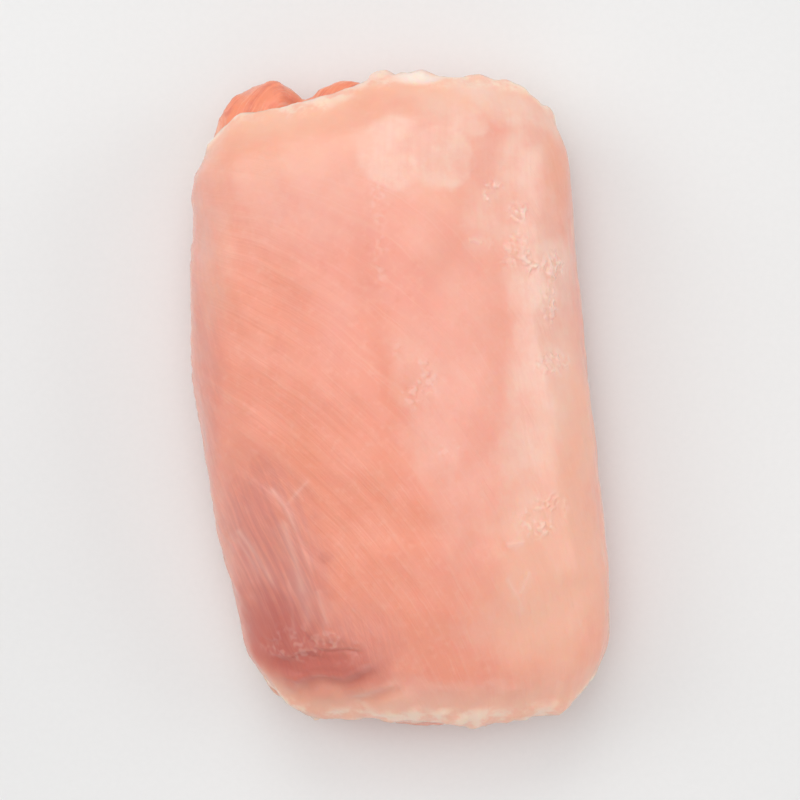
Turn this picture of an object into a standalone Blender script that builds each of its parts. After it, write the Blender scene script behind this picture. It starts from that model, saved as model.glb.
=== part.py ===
"""A raw, boneless and skinless chicken thigh, folded into a plump bundle with its smooth outer side up.

The thigh is one sheet of meat wrapped round its thicker inner muscles. The two long edges of the sheet
meet under the bundle, one tucked in behind the other, and the inner muscles show between the layers at
both ends. Metres, +Z up. The origin is under the middle of the bundle, on the surface that it rests on,
and the fold runs along Y. The far end is the one at +Y.
"""

import math

import bmesh
import bpy
import numpy as np
from mathutils import Euler, Matrix, Vector, noise

# Driving dimensions of the bundle
LENGTH = 0.110
HEIGHT = 0.0335
SHEET_THICKNESS = 0.0095
EDGE_THICKNESS_SHARE = 0.42
WAIST_HEIGHT = 0.0135

# The weight of the meat presses its underside flat up to this height, over a soft edge
PRESSED_HEIGHT = 0.0022
PRESSED_EDGE = 0.0006
TOUCHING = 0.0001

# How square the cross-section is at its sides, its top and its base, as powers of a superellipse
SIDE_POWER = 2.5
TOP_POWER = 2.25
BASE_POWER = 2.6

# Under the bundle the sheet is shorter at both ends, and both its long edges turn in at the seam
FAR_SHORTENING = 0.010
NEAR_SHORTENING = 0.009
SEAM_GAP = 0.075
RIGHT_TUCK = 0.0020
LEFT_TUCK = 0.0046

# Fineness of the skin drawn over the pieces, and of the finished solid
VOXEL = 0.0011
TRIANGLES = 9500

# The long sides in plan, as (Y, X) from the near end to the far end
LEFT_SIDE = [
    (-0.0550, -0.0236),
    (-0.0400, -0.0281),
    (-0.0145, -0.0332),
    (0.0060, -0.0356),
    (0.0258, -0.0364),
    (0.0411, -0.0360),
    (0.0550, -0.0342),
]
RIGHT_SIDE = [
    (-0.0550, 0.0352),
    (-0.0400, 0.0364),
    (-0.0266, 0.0359),
    (-0.0044, 0.0335),
    (0.0169, 0.0309),
    (0.0360, 0.0289),
    (0.0550, 0.0290),
]
# The height of the crown along the fold, as (Y, share of HEIGHT)
CROWN = [
    (-0.0560, 0.62),
    (-0.0480, 0.80),
    (-0.0350, 0.92),
    (-0.0120, 0.985),
    (0.0120, 1.00),
    (0.0320, 0.97),
    (0.0460, 0.87),
    (0.0560, 0.70),
]
# Where the sheet ends over the top, as (share of the half width, Y)
FAR_EDGE = [
    (-1.00, 0.0440),
    (-0.84, 0.0480),
    (-0.55, 0.0500),
    (-0.28, 0.0510),
    (-0.05, 0.0543),
    (0.20, 0.0550),
    (0.50, 0.0550),
    (0.80, 0.0538),
    (1.00, 0.0500),
]
NEAR_EDGE = [
    (-1.00, -0.0508),
    (-0.80, -0.0545),
    (-0.45, -0.0550),
    (-0.10, -0.0550),
    (0.30, -0.0552),
    (0.65, -0.0545),
    (0.88, -0.0522),
    (1.00, -0.0485),
]

# Inner muscles, which show between the layers: name, centre, radii, turns about X, Y and Z in degrees
INNER_MUSCLES = [
    ("far_left", (-0.0218, 0.0409, 0.0118), (0.0098, 0.0138, 0.0062), (6, 12, 14)),
    ("far_middle", (-0.0118, 0.0422, 0.0140), (0.0104, 0.0120, 0.0050), (0, -6, -8)),
    ("far_low", (-0.0060, 0.0375, 0.0072), (0.0170, 0.0124, 0.0050), (0, 5, 10)),
    ("far_right", (0.0130, 0.0385, 0.0128), (0.0132, 0.0130, 0.0056), (-6, -12, 4)),
    ("far_edge", (0.0200, 0.0372, 0.0100), (0.0080, 0.0112, 0.0056), (0, 14, -10)),
    ("near_left", (-0.0140, -0.0420, 0.0116), (0.0106, 0.0128, 0.0062), (0, -12, -6)),
    ("near_low", (0.0010, -0.0418, 0.0070), (0.0186, 0.0126, 0.0054), (0, 4, -6)),
    ("near_middle", (0.0056, -0.0436, 0.0136), (0.0150, 0.0130, 0.0058), (-6, 8, 10)),
    ("near_right", (0.0236, -0.0400, 0.0098), (0.0094, 0.0126, 0.0072), (0, 14, 8)),
]
# Pads of fat along the edges of the sheet: centre, radii, turns about X, Y and Z in degrees
FAT_PADS = [
    ((0.0033, 0.0543, 0.0216), (0.0028, 0.0015, 0.0017), (0, 0, 4)),
    ((-0.0290, 0.0400, 0.0085), (0.0026, 0.0042, 0.0024), (0, 0, 30)),
    ((0.0190, 0.0458, 0.0075), (0.0050, 0.0026, 0.0022), (0, 10, -26)),
    ((-0.0195, -0.0468, 0.0100), (0.0042, 0.0030, 0.0024), (0, 0, 20)),
    ((0.0262, -0.0432, 0.0120), (0.0032, 0.0036, 0.0024), (0, 0, -30)),
    ((0.0014, 0.0205, 0.0046), (0.0022, 0.0064, 0.0022), (0, 0, 11)),
    ((-0.0078, -0.0125, 0.0046), (0.0024, 0.0056, 0.0022), (0, 0, -20)),
    ((-0.0028, -0.0330, 0.0046), (0.0022, 0.0056, 0.0022), (0, 0, 29)),
]
MUSCLE_BUMPS = 0.18
FAT_BUMPS = 0.32

# Broad swells and hollows of the skin: place, radius, height
SWELLS = [
    ((-0.0270, -0.0370, 0.0220), 0.0130, -0.0016),
    ((0.0140, 0.0385, 0.0290), 0.0070, -0.0007),
    ((0.0005, 0.0420, 0.0280), 0.0090, 0.0006),
    ((-0.0170, 0.0080, 0.0300), 0.0170, 0.0009),
    ((0.0170, -0.0150, 0.0300), 0.0180, 0.0008),
    ((0.0290, 0.0120, 0.0220), 0.0090, -0.0007),
    ((-0.0330, 0.0180, 0.0180), 0.0100, 0.0005),
    ((0.0200, -0.0050, 0.0000), 0.0110, -0.0016),
    ((-0.0220, 0.0260, 0.0000), 0.0090, -0.0014),
    ((-0.0200, -0.0200, 0.0000), 0.0080, -0.0010),
    ((0.0150, 0.0290, 0.0000), 0.0080, -0.0012),
]
# Long shallow grooves of the upper face: path in plan, half width, depth. A ridge has a depth below zero
MUSCLE_DIVIDE = (
    [(-0.0058, 0.0370), (-0.0040, 0.0198), (-0.0012, 0.0056), (0.0042, -0.0050), (0.0100, -0.0180)],
    0.0030,
    0.00030,
)
FASCIA_RIDGE = (
    [(-0.0225, -0.0120), (-0.0180, -0.0235), (-0.0145, -0.0330), (-0.0118, -0.0430)],
    0.0026,
    -0.00045,
)
GATHERS = [
    ([(-0.0262, -0.0452), (-0.0190, -0.0462), (-0.0125, -0.0446), (-0.0050, -0.0424)], 0.0017, 0.00080),
    ([(-0.0215, -0.0515), (-0.0150, -0.0496), (-0.0100, -0.0486), (-0.0010, -0.0452)], 0.0013, 0.00110),
    ([(-0.0170, -0.0404), (-0.0130, -0.0420), (-0.0090, -0.0412)], 0.0010, 0.00035),
    ([(-0.0100, -0.0518), (-0.0050, -0.0508), (0.0010, -0.0490)], 0.0011, 0.00055),
]


def through(points, at):
    """A smooth curve through (position, value) points, read at one or more positions."""
    places, values = np.array(points, float).T
    slopes = np.gradient(values, places)
    i = np.clip(np.searchsorted(places, at) - 1, 0, len(places) - 2)
    gap = places[i + 1] - places[i]
    t = np.clip((at - places[i]) / gap, 0.0, 1.0)
    return (
        (2 * t**3 - 3 * t**2 + 1) * values[i]
        + (t**3 - 2 * t**2 + t) * gap * slopes[i]
        + (3 * t**2 - 2 * t**3) * values[i + 1]
        + (t**3 - t**2) * gap * slopes[i + 1]
    )


def squared_off(cosine, power):
    """A cosine or sine drawn out towards a box, as in a superellipse."""
    return math.copysign(abs(cosine) ** (2.0 / power), cosine)


def cross_section(turn, y, inset):
    """A point of the bundle's outline at Y, turn radians round from its right side, moved in by inset."""
    left, right = through(LEFT_SIDE, y), through(RIGHT_SIDE, y)
    crown = HEIGHT * through(CROWN, y)
    waist = WAIST_HEIGHT * (0.55 + 0.45 * crown / HEIGHT)
    half_width = 0.5 * (right - left) - inset
    rise = crown - waist - inset
    drop = waist - inset
    x = 0.5 * (left + right) + half_width * squared_off(math.cos(turn), SIDE_POWER)
    if math.sin(turn) >= 0:
        return x, waist + rise * squared_off(math.sin(turn), TOP_POWER)
    return x, waist + drop * squared_off(math.sin(turn), BASE_POWER)


def seam_turn(y):
    """Where the seam runs under the bundle, which wanders a little along its length, in radians."""
    return -0.5 * math.pi - 0.10 + 0.22 * math.sin(y * 52.0) + 0.10 * math.sin(y * 131.0 + 1.0)


def sheet_point(u, v):
    """The middle surface of the sheet: u goes round it from its right edge to its left edge, v along it."""
    fray = 0.06 * noise.noise(Vector((u * 3.0, v * 9.0, 21.0)))
    turn = seam_turn((v - 0.5) * LENGTH) + 0.10 + fray + u * (2.0 * math.pi - SEAM_GAP)
    share = math.cos(turn)
    under = max(0.0, -math.sin(turn))
    far = through(FAR_EDGE, share) - FAR_SHORTENING * under
    near = through(NEAR_EDGE, share) + NEAR_SHORTENING * under
    fine_rag = 0.0014 * noise.noise(Vector((u * 34.0, v * 2.0, 3.0)))
    broad_rag = 0.0017 * noise.noise(Vector((u * 11.0, v, 8.0)))
    y = near + (far - near) * v + (fine_rag + broad_rag) * (2.0 * v - 1.0)
    tuck = RIGHT_TUCK * max(0.0, 1.0 - u / 0.07) ** 1.5 + LEFT_TUCK * max(0.0, (u - 0.88) / 0.12) ** 1.4
    x, z = cross_section(turn, y, 0.5 * SHEET_THICKNESS + tuck)
    return Vector((x, y, z))


def new_object(name, mesh, collection):
    obj = bpy.data.objects.new(name, mesh)
    collection.objects.link(obj)
    return obj


def make_sheet(collection):
    """The wrapped sheet: a bent grid, thick in the middle and thin at its edges."""
    around, along = 60, 36
    side_rows, end_rows = 4.0, 3.0
    mesh = bpy.data.meshes.new("sheet")
    grid = bmesh.new()
    bmesh.ops.create_grid(grid, x_segments=around, y_segments=along, size=0.5)
    for vert in grid.verts:
        vert.co = sheet_point(vert.co.x + 0.5, vert.co.y + 0.5)
    grid.to_mesh(mesh)
    grid.free()
    obj = new_object("sheet", mesh, collection)
    thickness = obj.vertex_groups.new(name="thickness")
    for vert in range(len(mesh.vertices)):
        column, row = vert % (around + 1), vert // (around + 1)
        from_side = min(column, around - column) / side_rows
        from_end = min(row, along - row) / end_rows
        share = EDGE_THICKNESS_SHARE + (1.0 - EDGE_THICKNESS_SHARE) * min(from_side, from_end, 1.0)
        thickness.add([vert], share, "REPLACE")
    solid = obj.modifiers.new("Thickness", "SOLIDIFY")
    solid.thickness = SHEET_THICKNESS
    solid.offset = 0.0
    solid.vertex_group = thickness.name
    solid.use_rim = True
    soft = obj.modifiers.new("Soft", "SUBSURF")
    soft.levels = soft.render_levels = 1
    return obj


def make_core(collection):
    """The thick muscles inside the bundle, which fill it nearly to its ends."""
    half_length = 0.5 * LENGTH - 0.0085
    bluntness = 0.42
    mesh = bpy.data.meshes.new("core")
    ball = bmesh.new()
    bmesh.ops.create_uvsphere(ball, u_segments=48, v_segments=32, radius=1.0)
    for vert in ball.verts:
        along, turn = vert.co.z, math.atan2(vert.co.y, vert.co.x)
        ring = math.sqrt(max(0.0, 1.0 - along * along)) ** bluntness
        y = along * half_length
        x, z = cross_section(turn, y, 0.5 * SHEET_THICKNESS)
        middle_x, _ = cross_section(0.5 * math.pi, y, 0.0)
        vert.co = Vector((middle_x + ring * (x - middle_x), y, WAIST_HEIGHT + ring * (z - WAIST_HEIGHT)))
    bmesh.ops.recalc_face_normals(ball, faces=ball.faces)
    ball.to_mesh(mesh)
    ball.free()
    return new_object("core", mesh, collection)


def make_lump(name, centre, radii, turns, bumps, collection):
    """A rounded lump of meat or fat, uneven by the depth of its bumps."""
    mesh = bpy.data.meshes.new(name)
    ball = bmesh.new()
    bmesh.ops.create_icosphere(ball, subdivisions=4, radius=1.0)
    spin = Euler([math.radians(turn) for turn in turns]).to_matrix().to_4x4()
    place = Matrix.Translation(centre) @ spin @ Matrix.Diagonal((*radii, 1.0))
    for vert in ball.verts:
        swell = 1.0 + bumps * noise.noise(vert.co * 1.6 + Vector(centre) * 900.0)
        vert.co = place @ (vert.co * swell)
    ball.to_mesh(mesh)
    ball.free()
    return new_object(name, mesh, collection)


def evaluated_mesh(obj):
    graph = bpy.context.evaluated_depsgraph_get()
    return bpy.data.meshes.new_from_object(obj.evaluated_get(graph))


def apply_modifiers(obj):
    bpy.context.view_layer.update()
    obj.data = evaluated_mesh(obj)
    obj.modifiers.clear()


def smoothstep(low, high, value):
    t = np.clip((value - low) / (high - low), 0.0, 1.0)
    return t * t * (3.0 - 2.0 * t)


def off_path(x, y, path):
    """How far each place is in plan from a smooth line through a path, and how far along it, from 0 to 1."""
    samples = 120
    spots = np.linspace(0.0, len(path) - 1.0, samples)
    line_x = through([(i, point[0]) for i, point in enumerate(path)], spots)
    line_y = through([(i, point[1]) for i, point in enumerate(path)], spots)
    gaps = np.hypot(x[:, None] - line_x, y[:, None] - line_y)
    nearest = gaps.argmin(axis=1)
    return gaps[np.arange(len(x)), nearest], nearest / (samples - 1.0)


def uneven(places, height, fineness, shift):
    """Soft random heights over the skin, with bumps about 1 / fineness metres wide."""
    aside = Vector((shift, 0.0, 0.0))
    return height * np.array([noise.noise(Vector(place) * fineness + aside) for place in places])


def read_places(mesh):
    co = np.empty(len(mesh.vertices) * 3)
    mesh.vertices.foreach_get("co", co)
    return co.reshape(-1, 3)


def write_places(mesh, co):
    mesh.vertices.foreach_set("co", co.ravel())
    mesh.update()


def carve_relief(mesh):
    """Moves the skin in and out: the soft unevenness of meat all over, and the named forms on top."""
    co = read_places(mesh)
    normal = np.empty(co.size)
    mesh.vertex_normals.foreach_get("vector", normal)
    normal = normal.reshape(-1, 3)
    x, y, z = co.T
    lift = uneven(co, 0.0009, 48.0, 0.0) + uneven(co, 0.0005, 120.0, 5.0)
    for centre, radius, height in SWELLS:
        lift += height * np.exp(-((co - centre) ** 2).sum(axis=1) / radius**2)
    upper = smoothstep(0.05, 0.55, normal[:, 2]) * smoothstep(0.008, 0.014, z)
    waver = uneven(co, 0.0008, 150.0, 9.0)
    for path, half_width, depth in [MUSCLE_DIVIDE, FASCIA_RIDGE, *GATHERS]:
        gap, along = off_path(x + waver, y - waver, path)
        fade = smoothstep(0.0, 0.25, along) * smoothstep(1.0, 0.75, along)
        lift -= upper * fade * depth * np.exp(-((gap / half_width) ** 2))
    write_places(mesh, co + lift[:, None] * normal)


def keep_largest_body(mesh):
    """Drops loose scraps, and the walls of any hollow that is sealed inside."""
    whole = bmesh.new()
    whole.from_mesh(mesh)
    bodies, seen = [], set()
    for start in whole.verts:
        if start in seen:
            continue
        body, edge_of_body = [start], [start]
        seen.add(start)
        while edge_of_body:
            for edge in edge_of_body.pop().link_edges:
                for vert in edge.verts:
                    if vert not in seen:
                        seen.add(vert)
                        body.append(vert)
                        edge_of_body.append(vert)
        bodies.append(body)
    bodies.sort(key=len, reverse=True)
    for body in bodies[1:]:
        bmesh.ops.delete(whole, geom=body, context="VERTS")
    whole.to_mesh(mesh)
    whole.free()


def press_underside(mesh):
    """Presses the underside flat where the thigh lies on the surface, and sets it down at Z 0."""
    co = read_places(mesh)
    above = np.maximum(0.0, co[:, 2] - PRESSED_HEIGHT)
    co[:, 2] = np.where(above < PRESSED_EDGE, above**2 / (2.0 * PRESSED_EDGE), above - 0.5 * PRESSED_EDGE)
    write_places(mesh, co)


def fuse(pieces, name, collection):
    """All the pieces as one object, whose skin is drawn over the whole, softened, carved and thinned."""
    joined = bmesh.new()
    for piece in pieces:
        joined.from_mesh(evaluated_mesh(piece))
        bpy.data.objects.remove(piece)
    mesh = bpy.data.meshes.new(name)
    joined.to_mesh(mesh)
    joined.free()
    obj = new_object(name, mesh, collection)
    skin = obj.modifiers.new("Skin", "REMESH")
    skin.mode = "VOXEL"
    skin.voxel_size = VOXEL
    soften = obj.modifiers.new("Soften", "SMOOTH")
    soften.factor = 0.5
    soften.iterations = 4
    apply_modifiers(obj)
    keep_largest_body(obj.data)
    carve_relief(obj.data)
    press_underside(obj.data)
    thin = obj.modifiers.new("Thin", "DECIMATE")
    thin.ratio = min(1.0, 0.5 * TRIANGLES / len(obj.data.polygons))
    apply_modifiers(obj)
    return obj


def stand_on_origin(mesh):
    """The middle of the box in plan moved to the origin, and what all but touches the surface set on it."""
    co = read_places(mesh)
    co[:, :2] -= 0.5 * (co[:, :2].min(axis=0) + co[:, :2].max(axis=0))
    co[co[:, 2] < TOUCHING, 2] = 0.0
    write_places(mesh, co)


def meat_material():
    material = bpy.data.materials.new("raw_thigh_meat")
    material.use_nodes = True
    shader = material.node_tree.nodes["Principled BSDF"]
    shader.inputs["Base Color"].default_value = (0.78, 0.36, 0.26, 1.0)
    shader.inputs["Roughness"].default_value = 0.35
    shader.inputs["Metallic"].default_value = 0.0
    return material


def main():
    for obj in list(bpy.data.objects):
        bpy.data.objects.remove(obj)
    collection = bpy.data.collections.new("chicken_thigh")
    bpy.context.scene.collection.children.link(collection)
    pieces = [make_sheet(collection), make_core(collection)]
    for name, centre, radii, turns in INNER_MUSCLES:
        pieces.append(make_lump(name, centre, radii, turns, MUSCLE_BUMPS, collection))
    for number, (centre, radii, turns) in enumerate(FAT_PADS):
        pieces.append(make_lump(f"fat_{number}", centre, radii, turns, FAT_BUMPS, collection))
    thigh = fuse(pieces, "chicken_thigh", collection)
    stand_on_origin(thigh.data)
    thigh.data.materials.append(meat_material())
    thigh.data.shade_smooth()


main()
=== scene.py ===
"""The looks of a raw chicken thigh: its skin with fibres, membrane, fat and sinew, on a pale floor.

The form is worked out from the same named sizes as the solid, and its skin is drawn more finely. What each
place of the skin is, such as fat or membrane, is worked out from the same named features and kept on the
mesh as shares from 0 to 1, which the material reads. Metres, +Z up. The far end is the one at +Y.
"""

import math
import random

import bmesh
import bpy
import numpy as np
from mathutils import Euler, Matrix, Vector, noise
from mathutils.bvhtree import BVHTree


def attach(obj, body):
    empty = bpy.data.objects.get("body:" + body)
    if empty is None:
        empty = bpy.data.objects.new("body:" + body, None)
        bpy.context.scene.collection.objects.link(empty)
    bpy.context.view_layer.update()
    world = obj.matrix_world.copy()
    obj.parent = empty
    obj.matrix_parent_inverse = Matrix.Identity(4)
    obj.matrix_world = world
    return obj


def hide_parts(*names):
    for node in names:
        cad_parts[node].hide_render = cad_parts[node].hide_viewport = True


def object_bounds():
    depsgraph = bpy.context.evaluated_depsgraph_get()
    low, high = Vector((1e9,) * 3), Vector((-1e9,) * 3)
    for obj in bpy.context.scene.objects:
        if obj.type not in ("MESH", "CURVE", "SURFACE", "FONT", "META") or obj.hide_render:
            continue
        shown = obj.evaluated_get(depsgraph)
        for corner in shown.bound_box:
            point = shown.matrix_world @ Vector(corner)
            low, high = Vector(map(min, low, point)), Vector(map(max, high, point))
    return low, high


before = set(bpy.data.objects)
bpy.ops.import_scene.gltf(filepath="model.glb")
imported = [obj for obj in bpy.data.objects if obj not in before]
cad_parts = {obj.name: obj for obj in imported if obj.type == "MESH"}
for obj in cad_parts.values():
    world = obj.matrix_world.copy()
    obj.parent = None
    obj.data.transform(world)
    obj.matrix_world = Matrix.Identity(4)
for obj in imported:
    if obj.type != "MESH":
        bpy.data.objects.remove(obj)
CAD_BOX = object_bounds()

# Driving dimensions of the bundle, as in the solid
LENGTH = 0.110
HEIGHT = 0.0335
SHEET_THICKNESS = 0.0095
EDGE_THICKNESS_SHARE = 0.42
WAIST_HEIGHT = 0.0135
CORE_INSET = 0.0085
PRESSED_HEIGHT = 0.0022
PRESSED_EDGE = 0.0006
SIDE_POWER = 2.5
TOP_POWER = 2.25
BASE_POWER = 2.6
FAR_SHORTENING = 0.010
NEAR_SHORTENING = 0.009
SEAM_GAP = 0.075
RIGHT_TUCK = 0.0020
LEFT_TUCK = 0.0046

# Fineness of the skin that is drawn over the pieces, and how many times it is softened
VOXEL = 0.00068
SOFTENING_PASSES = 8

# The long sides in plan, as (Y, X) from the near end to the far end
LEFT_SIDE = [
    (-0.0550, -0.0236),
    (-0.0400, -0.0281),
    (-0.0145, -0.0332),
    (0.0060, -0.0356),
    (0.0258, -0.0364),
    (0.0411, -0.0360),
    (0.0550, -0.0342),
]
RIGHT_SIDE = [
    (-0.0550, 0.0352),
    (-0.0400, 0.0364),
    (-0.0266, 0.0359),
    (-0.0044, 0.0335),
    (0.0169, 0.0309),
    (0.0360, 0.0289),
    (0.0550, 0.0290),
]
# The height of the crown along the fold, as (Y, share of HEIGHT)
CROWN = [
    (-0.0560, 0.62),
    (-0.0480, 0.80),
    (-0.0350, 0.92),
    (-0.0120, 0.985),
    (0.0120, 1.00),
    (0.0320, 0.97),
    (0.0460, 0.87),
    (0.0560, 0.70),
]
# Where the sheet ends over the top, as (share of the half width, Y)
FAR_EDGE = [
    (-1.00, 0.0440),
    (-0.84, 0.0480),
    (-0.55, 0.0500),
    (-0.28, 0.0510),
    (-0.05, 0.0543),
    (0.20, 0.0550),
    (0.50, 0.0550),
    (0.80, 0.0538),
    (1.00, 0.0500),
]
NEAR_EDGE = [
    (-1.00, -0.0508),
    (-0.80, -0.0545),
    (-0.45, -0.0550),
    (-0.10, -0.0550),
    (0.30, -0.0552),
    (0.65, -0.0545),
    (0.88, -0.0522),
    (1.00, -0.0485),
]

# Inner muscles, which show between the layers: name, centre, radii, turns about X, Y and Z in degrees
INNER_MUSCLES = [
    ("far_left", (-0.0218, 0.0409, 0.0118), (0.0098, 0.0138, 0.0062), (6, 12, 14)),
    ("far_middle", (-0.0118, 0.0422, 0.0140), (0.0104, 0.0120, 0.0050), (0, -6, -8)),
    ("far_low", (-0.0060, 0.0375, 0.0072), (0.0170, 0.0124, 0.0050), (0, 5, 10)),
    ("far_right", (0.0130, 0.0385, 0.0128), (0.0132, 0.0130, 0.0056), (-6, -12, 4)),
    ("far_edge", (0.0200, 0.0372, 0.0100), (0.0080, 0.0112, 0.0056), (0, 14, -10)),
    ("near_left", (-0.0140, -0.0420, 0.0116), (0.0106, 0.0128, 0.0062), (0, -12, -6)),
    ("near_low", (0.0010, -0.0418, 0.0070), (0.0186, 0.0126, 0.0054), (0, 4, -6)),
    ("near_middle", (0.0056, -0.0436, 0.0136), (0.0150, 0.0130, 0.0058), (-6, 8, 10)),
    ("near_right", (0.0236, -0.0400, 0.0098), (0.0094, 0.0126, 0.0072), (0, 14, 8)),
]
# Pads of fat along the edges of the sheet: centre, radii, turns about X, Y and Z in degrees
FAT_PADS = [
    ((0.0033, 0.0543, 0.0216), (0.0028, 0.0015, 0.0017), (0, 0, 4)),
    ((-0.0290, 0.0400, 0.0085), (0.0026, 0.0042, 0.0024), (0, 0, 30)),
    ((0.0190, 0.0458, 0.0075), (0.0050, 0.0026, 0.0022), (0, 10, -26)),
    ((-0.0195, -0.0468, 0.0100), (0.0042, 0.0030, 0.0024), (0, 0, 20)),
    ((0.0262, -0.0432, 0.0120), (0.0032, 0.0036, 0.0024), (0, 0, -30)),
    ((0.0014, 0.0205, 0.0046), (0.0022, 0.0064, 0.0022), (0, 0, 11)),
    ((-0.0078, -0.0125, 0.0046), (0.0024, 0.0056, 0.0022), (0, 0, -20)),
    ((-0.0028, -0.0330, 0.0046), (0.0022, 0.0056, 0.0022), (0, 0, 29)),
]
MUSCLE_BUMPS = 0.18
FAT_BUMPS = 0.32

# Broad swells and hollows of the skin: place, radius, height
SWELLS = [
    ((-0.0270, -0.0370, 0.0220), 0.0130, -0.0016),
    ((0.0140, 0.0385, 0.0290), 0.0070, -0.0007),
    ((0.0005, 0.0420, 0.0280), 0.0090, 0.0006),
    ((-0.0170, 0.0080, 0.0300), 0.0170, 0.0009),
    ((0.0170, -0.0150, 0.0300), 0.0180, 0.0008),
    ((0.0290, 0.0120, 0.0220), 0.0090, -0.0007),
    ((-0.0330, 0.0180, 0.0180), 0.0100, 0.0005),
    ((0.0200, -0.0050, 0.0000), 0.0110, -0.0016),
    ((-0.0220, 0.0260, 0.0000), 0.0090, -0.0014),
    ((-0.0200, -0.0200, 0.0000), 0.0080, -0.0010),
    ((0.0150, 0.0290, 0.0000), 0.0080, -0.0012),
]
# Long shallow grooves of the upper face: path in plan, half width, depth. A ridge has a depth below zero
MUSCLE_DIVIDE = (
    [(-0.0058, 0.0370), (-0.0040, 0.0198), (-0.0012, 0.0056), (0.0042, -0.0050), (0.0100, -0.0180)],
    0.0030,
    0.00030,
)
FASCIA_RIDGE = (
    [(-0.0225, -0.0120), (-0.0180, -0.0235), (-0.0145, -0.0330), (-0.0118, -0.0430)],
    0.0026,
    -0.00045,
)
GATHERS = [
    ([(-0.0262, -0.0452), (-0.0190, -0.0462), (-0.0125, -0.0446), (-0.0050, -0.0424)], 0.0017, 0.00080),
    ([(-0.0215, -0.0515), (-0.0150, -0.0496), (-0.0100, -0.0486), (-0.0010, -0.0452)], 0.0013, 0.00110),
    ([(-0.0170, -0.0404), (-0.0130, -0.0420), (-0.0090, -0.0412)], 0.0010, 0.00035),
    ([(-0.0100, -0.0518), (-0.0050, -0.0508), (0.0010, -0.0490)], 0.0011, 0.00055),
]

# The patches are ovals on the upper face: centre and radii in plan, turn in degrees, strength

# The pale membrane left on the meat, and painted sheen and light: the pale band down the right side, the
# pale left rim, the paler upper left and the lighter hollow at the far right stand in for the lights' sheen
MEMBRANE_AND_SHEEN_PATCHES = [
    ((0.0226, 0.0020), (0.0060, 0.0250), -8, 0.80),
    ((0.0236, 0.0205), (0.0068, 0.0085), 0, 1.00),
    ((0.0190, 0.0300), (0.0085, 0.0085), -10, 0.75),
    ((0.0008, 0.0410), (0.0110, 0.0080), 0, 0.45),
    ((0.0085, 0.0470), (0.0070, 0.0046), 0, 0.70),
    ((0.0130, 0.0390), (0.0044, 0.0070), 0, 0.42),
    ((0.0060, 0.0290), (0.0055, 0.0075), 0, 0.24),
    ((-0.0315, 0.0270), (0.0036, 0.0140), 0, 0.40),
    ((0.0035, 0.0080), (0.0060, 0.0065), 0, 0.22),
    ((0.0055, -0.0070), (0.0050, 0.0060), 0, 0.28),
    ((0.0200, -0.0360), (0.0120, 0.0120), 0, 0.25),
    ((0.0204, 0.0405), (0.0046, 0.0080), -14, 0.85),
    ((0.0140, 0.0090), (0.0100, 0.0200), 0, 0.28),
    ((-0.0170, 0.0360), (0.0140, 0.0110), 0, 0.28),
    ((0.0165, 0.0500), (0.0100, 0.0036), -28, 1.00),
    ((0.0110, -0.0180), (0.0060, 0.0110), 0, 0.25),
]
# Scraps of membrane with a clear edge
MEMBRANE_SCRAPS = [
    ((-0.0010, 0.0410), (0.0068, 0.0066), 0, 0.80),
    ((0.0066, 0.0404), (0.0058, 0.0062), 10, 0.95),
    ((0.0110, 0.0472), (0.0044, 0.0026), -30, 0.80),
    ((0.0030, 0.0036), (0.0052, 0.0060), 0, 0.30),
    ((0.0060, -0.0100), (0.0044, 0.0070), 10, 0.30),
]
# Thin bluish membrane over darker meat, and painted shade: the lower left and the left rim are painted
# darker and cooler as if in shade
COOL_AND_SHADE_PATCHES = [
    ((-0.0210, -0.0300), (0.0085, 0.0190), 14, 1.00),
    ((-0.0330, 0.0060), (0.0030, 0.0300), 0, 0.45),
    ((-0.0120, -0.0420), (0.0110, 0.0070), 0, 0.60),
]
# Where the membrane is crumpled into small granules and wrinkles, whose tops are painted with highlights
WRINKLE_PATCHES = [
    ((0.0156, 0.0346), (0.0019, 0.0023), 0, 1.00),
    ((0.0197, 0.0312), (0.0019, 0.0019), 20, 1.00),
    ((0.0186, 0.0250), (0.0042, 0.0038), 0, 0.70),
    ((0.0212, 0.0226), (0.0024, 0.0020), 0, 1.00),
    ((0.0258, 0.0216), (0.0021, 0.0028), 0, 1.00),
    ((0.0256, 0.0150), (0.0018, 0.0044), 0, 0.70),
    ((0.0252, 0.0058), (0.0040, 0.0024), 0, 0.70),
    ((0.0236, -0.0198), (0.0044, 0.0030), 42, 1.00),
    ((0.0030, 0.0024), (0.0034, 0.0044), 0, 0.60),
    ((0.0076, -0.0086), (0.0034, 0.0020), 0, 0.35),
    ((-0.0038, 0.0330), (0.0017, 0.0060), 0, 0.45),
    ((-0.0034, 0.0230), (0.0016, 0.0060), 0, 0.40),
    ((-0.0014, 0.0090), (0.0018, 0.0030), 0, 0.45),
    ((-0.0150, -0.0424), (0.0100, 0.0034), 0, 0.50),
]
# Pinker and redder spots of the meat, and painted shade: the near left corner is painted dark red as if
# shaded
BLUSH_AND_SHADE_PATCHES = [
    ((0.0150, 0.0388), (0.0030, 0.0034), 0, 0.14),
    ((-0.0170, 0.0300), (0.0120, 0.0100), 0, 0.15),
    ((-0.0255, -0.0445), (0.0118, 0.0108), 0, 1.00),
    ((-0.0150, -0.0480), (0.0120, 0.0070), 0, 0.90),
    ((-0.0128, -0.0270), (0.0010, 0.0010), 0, 0.35),
]
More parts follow.
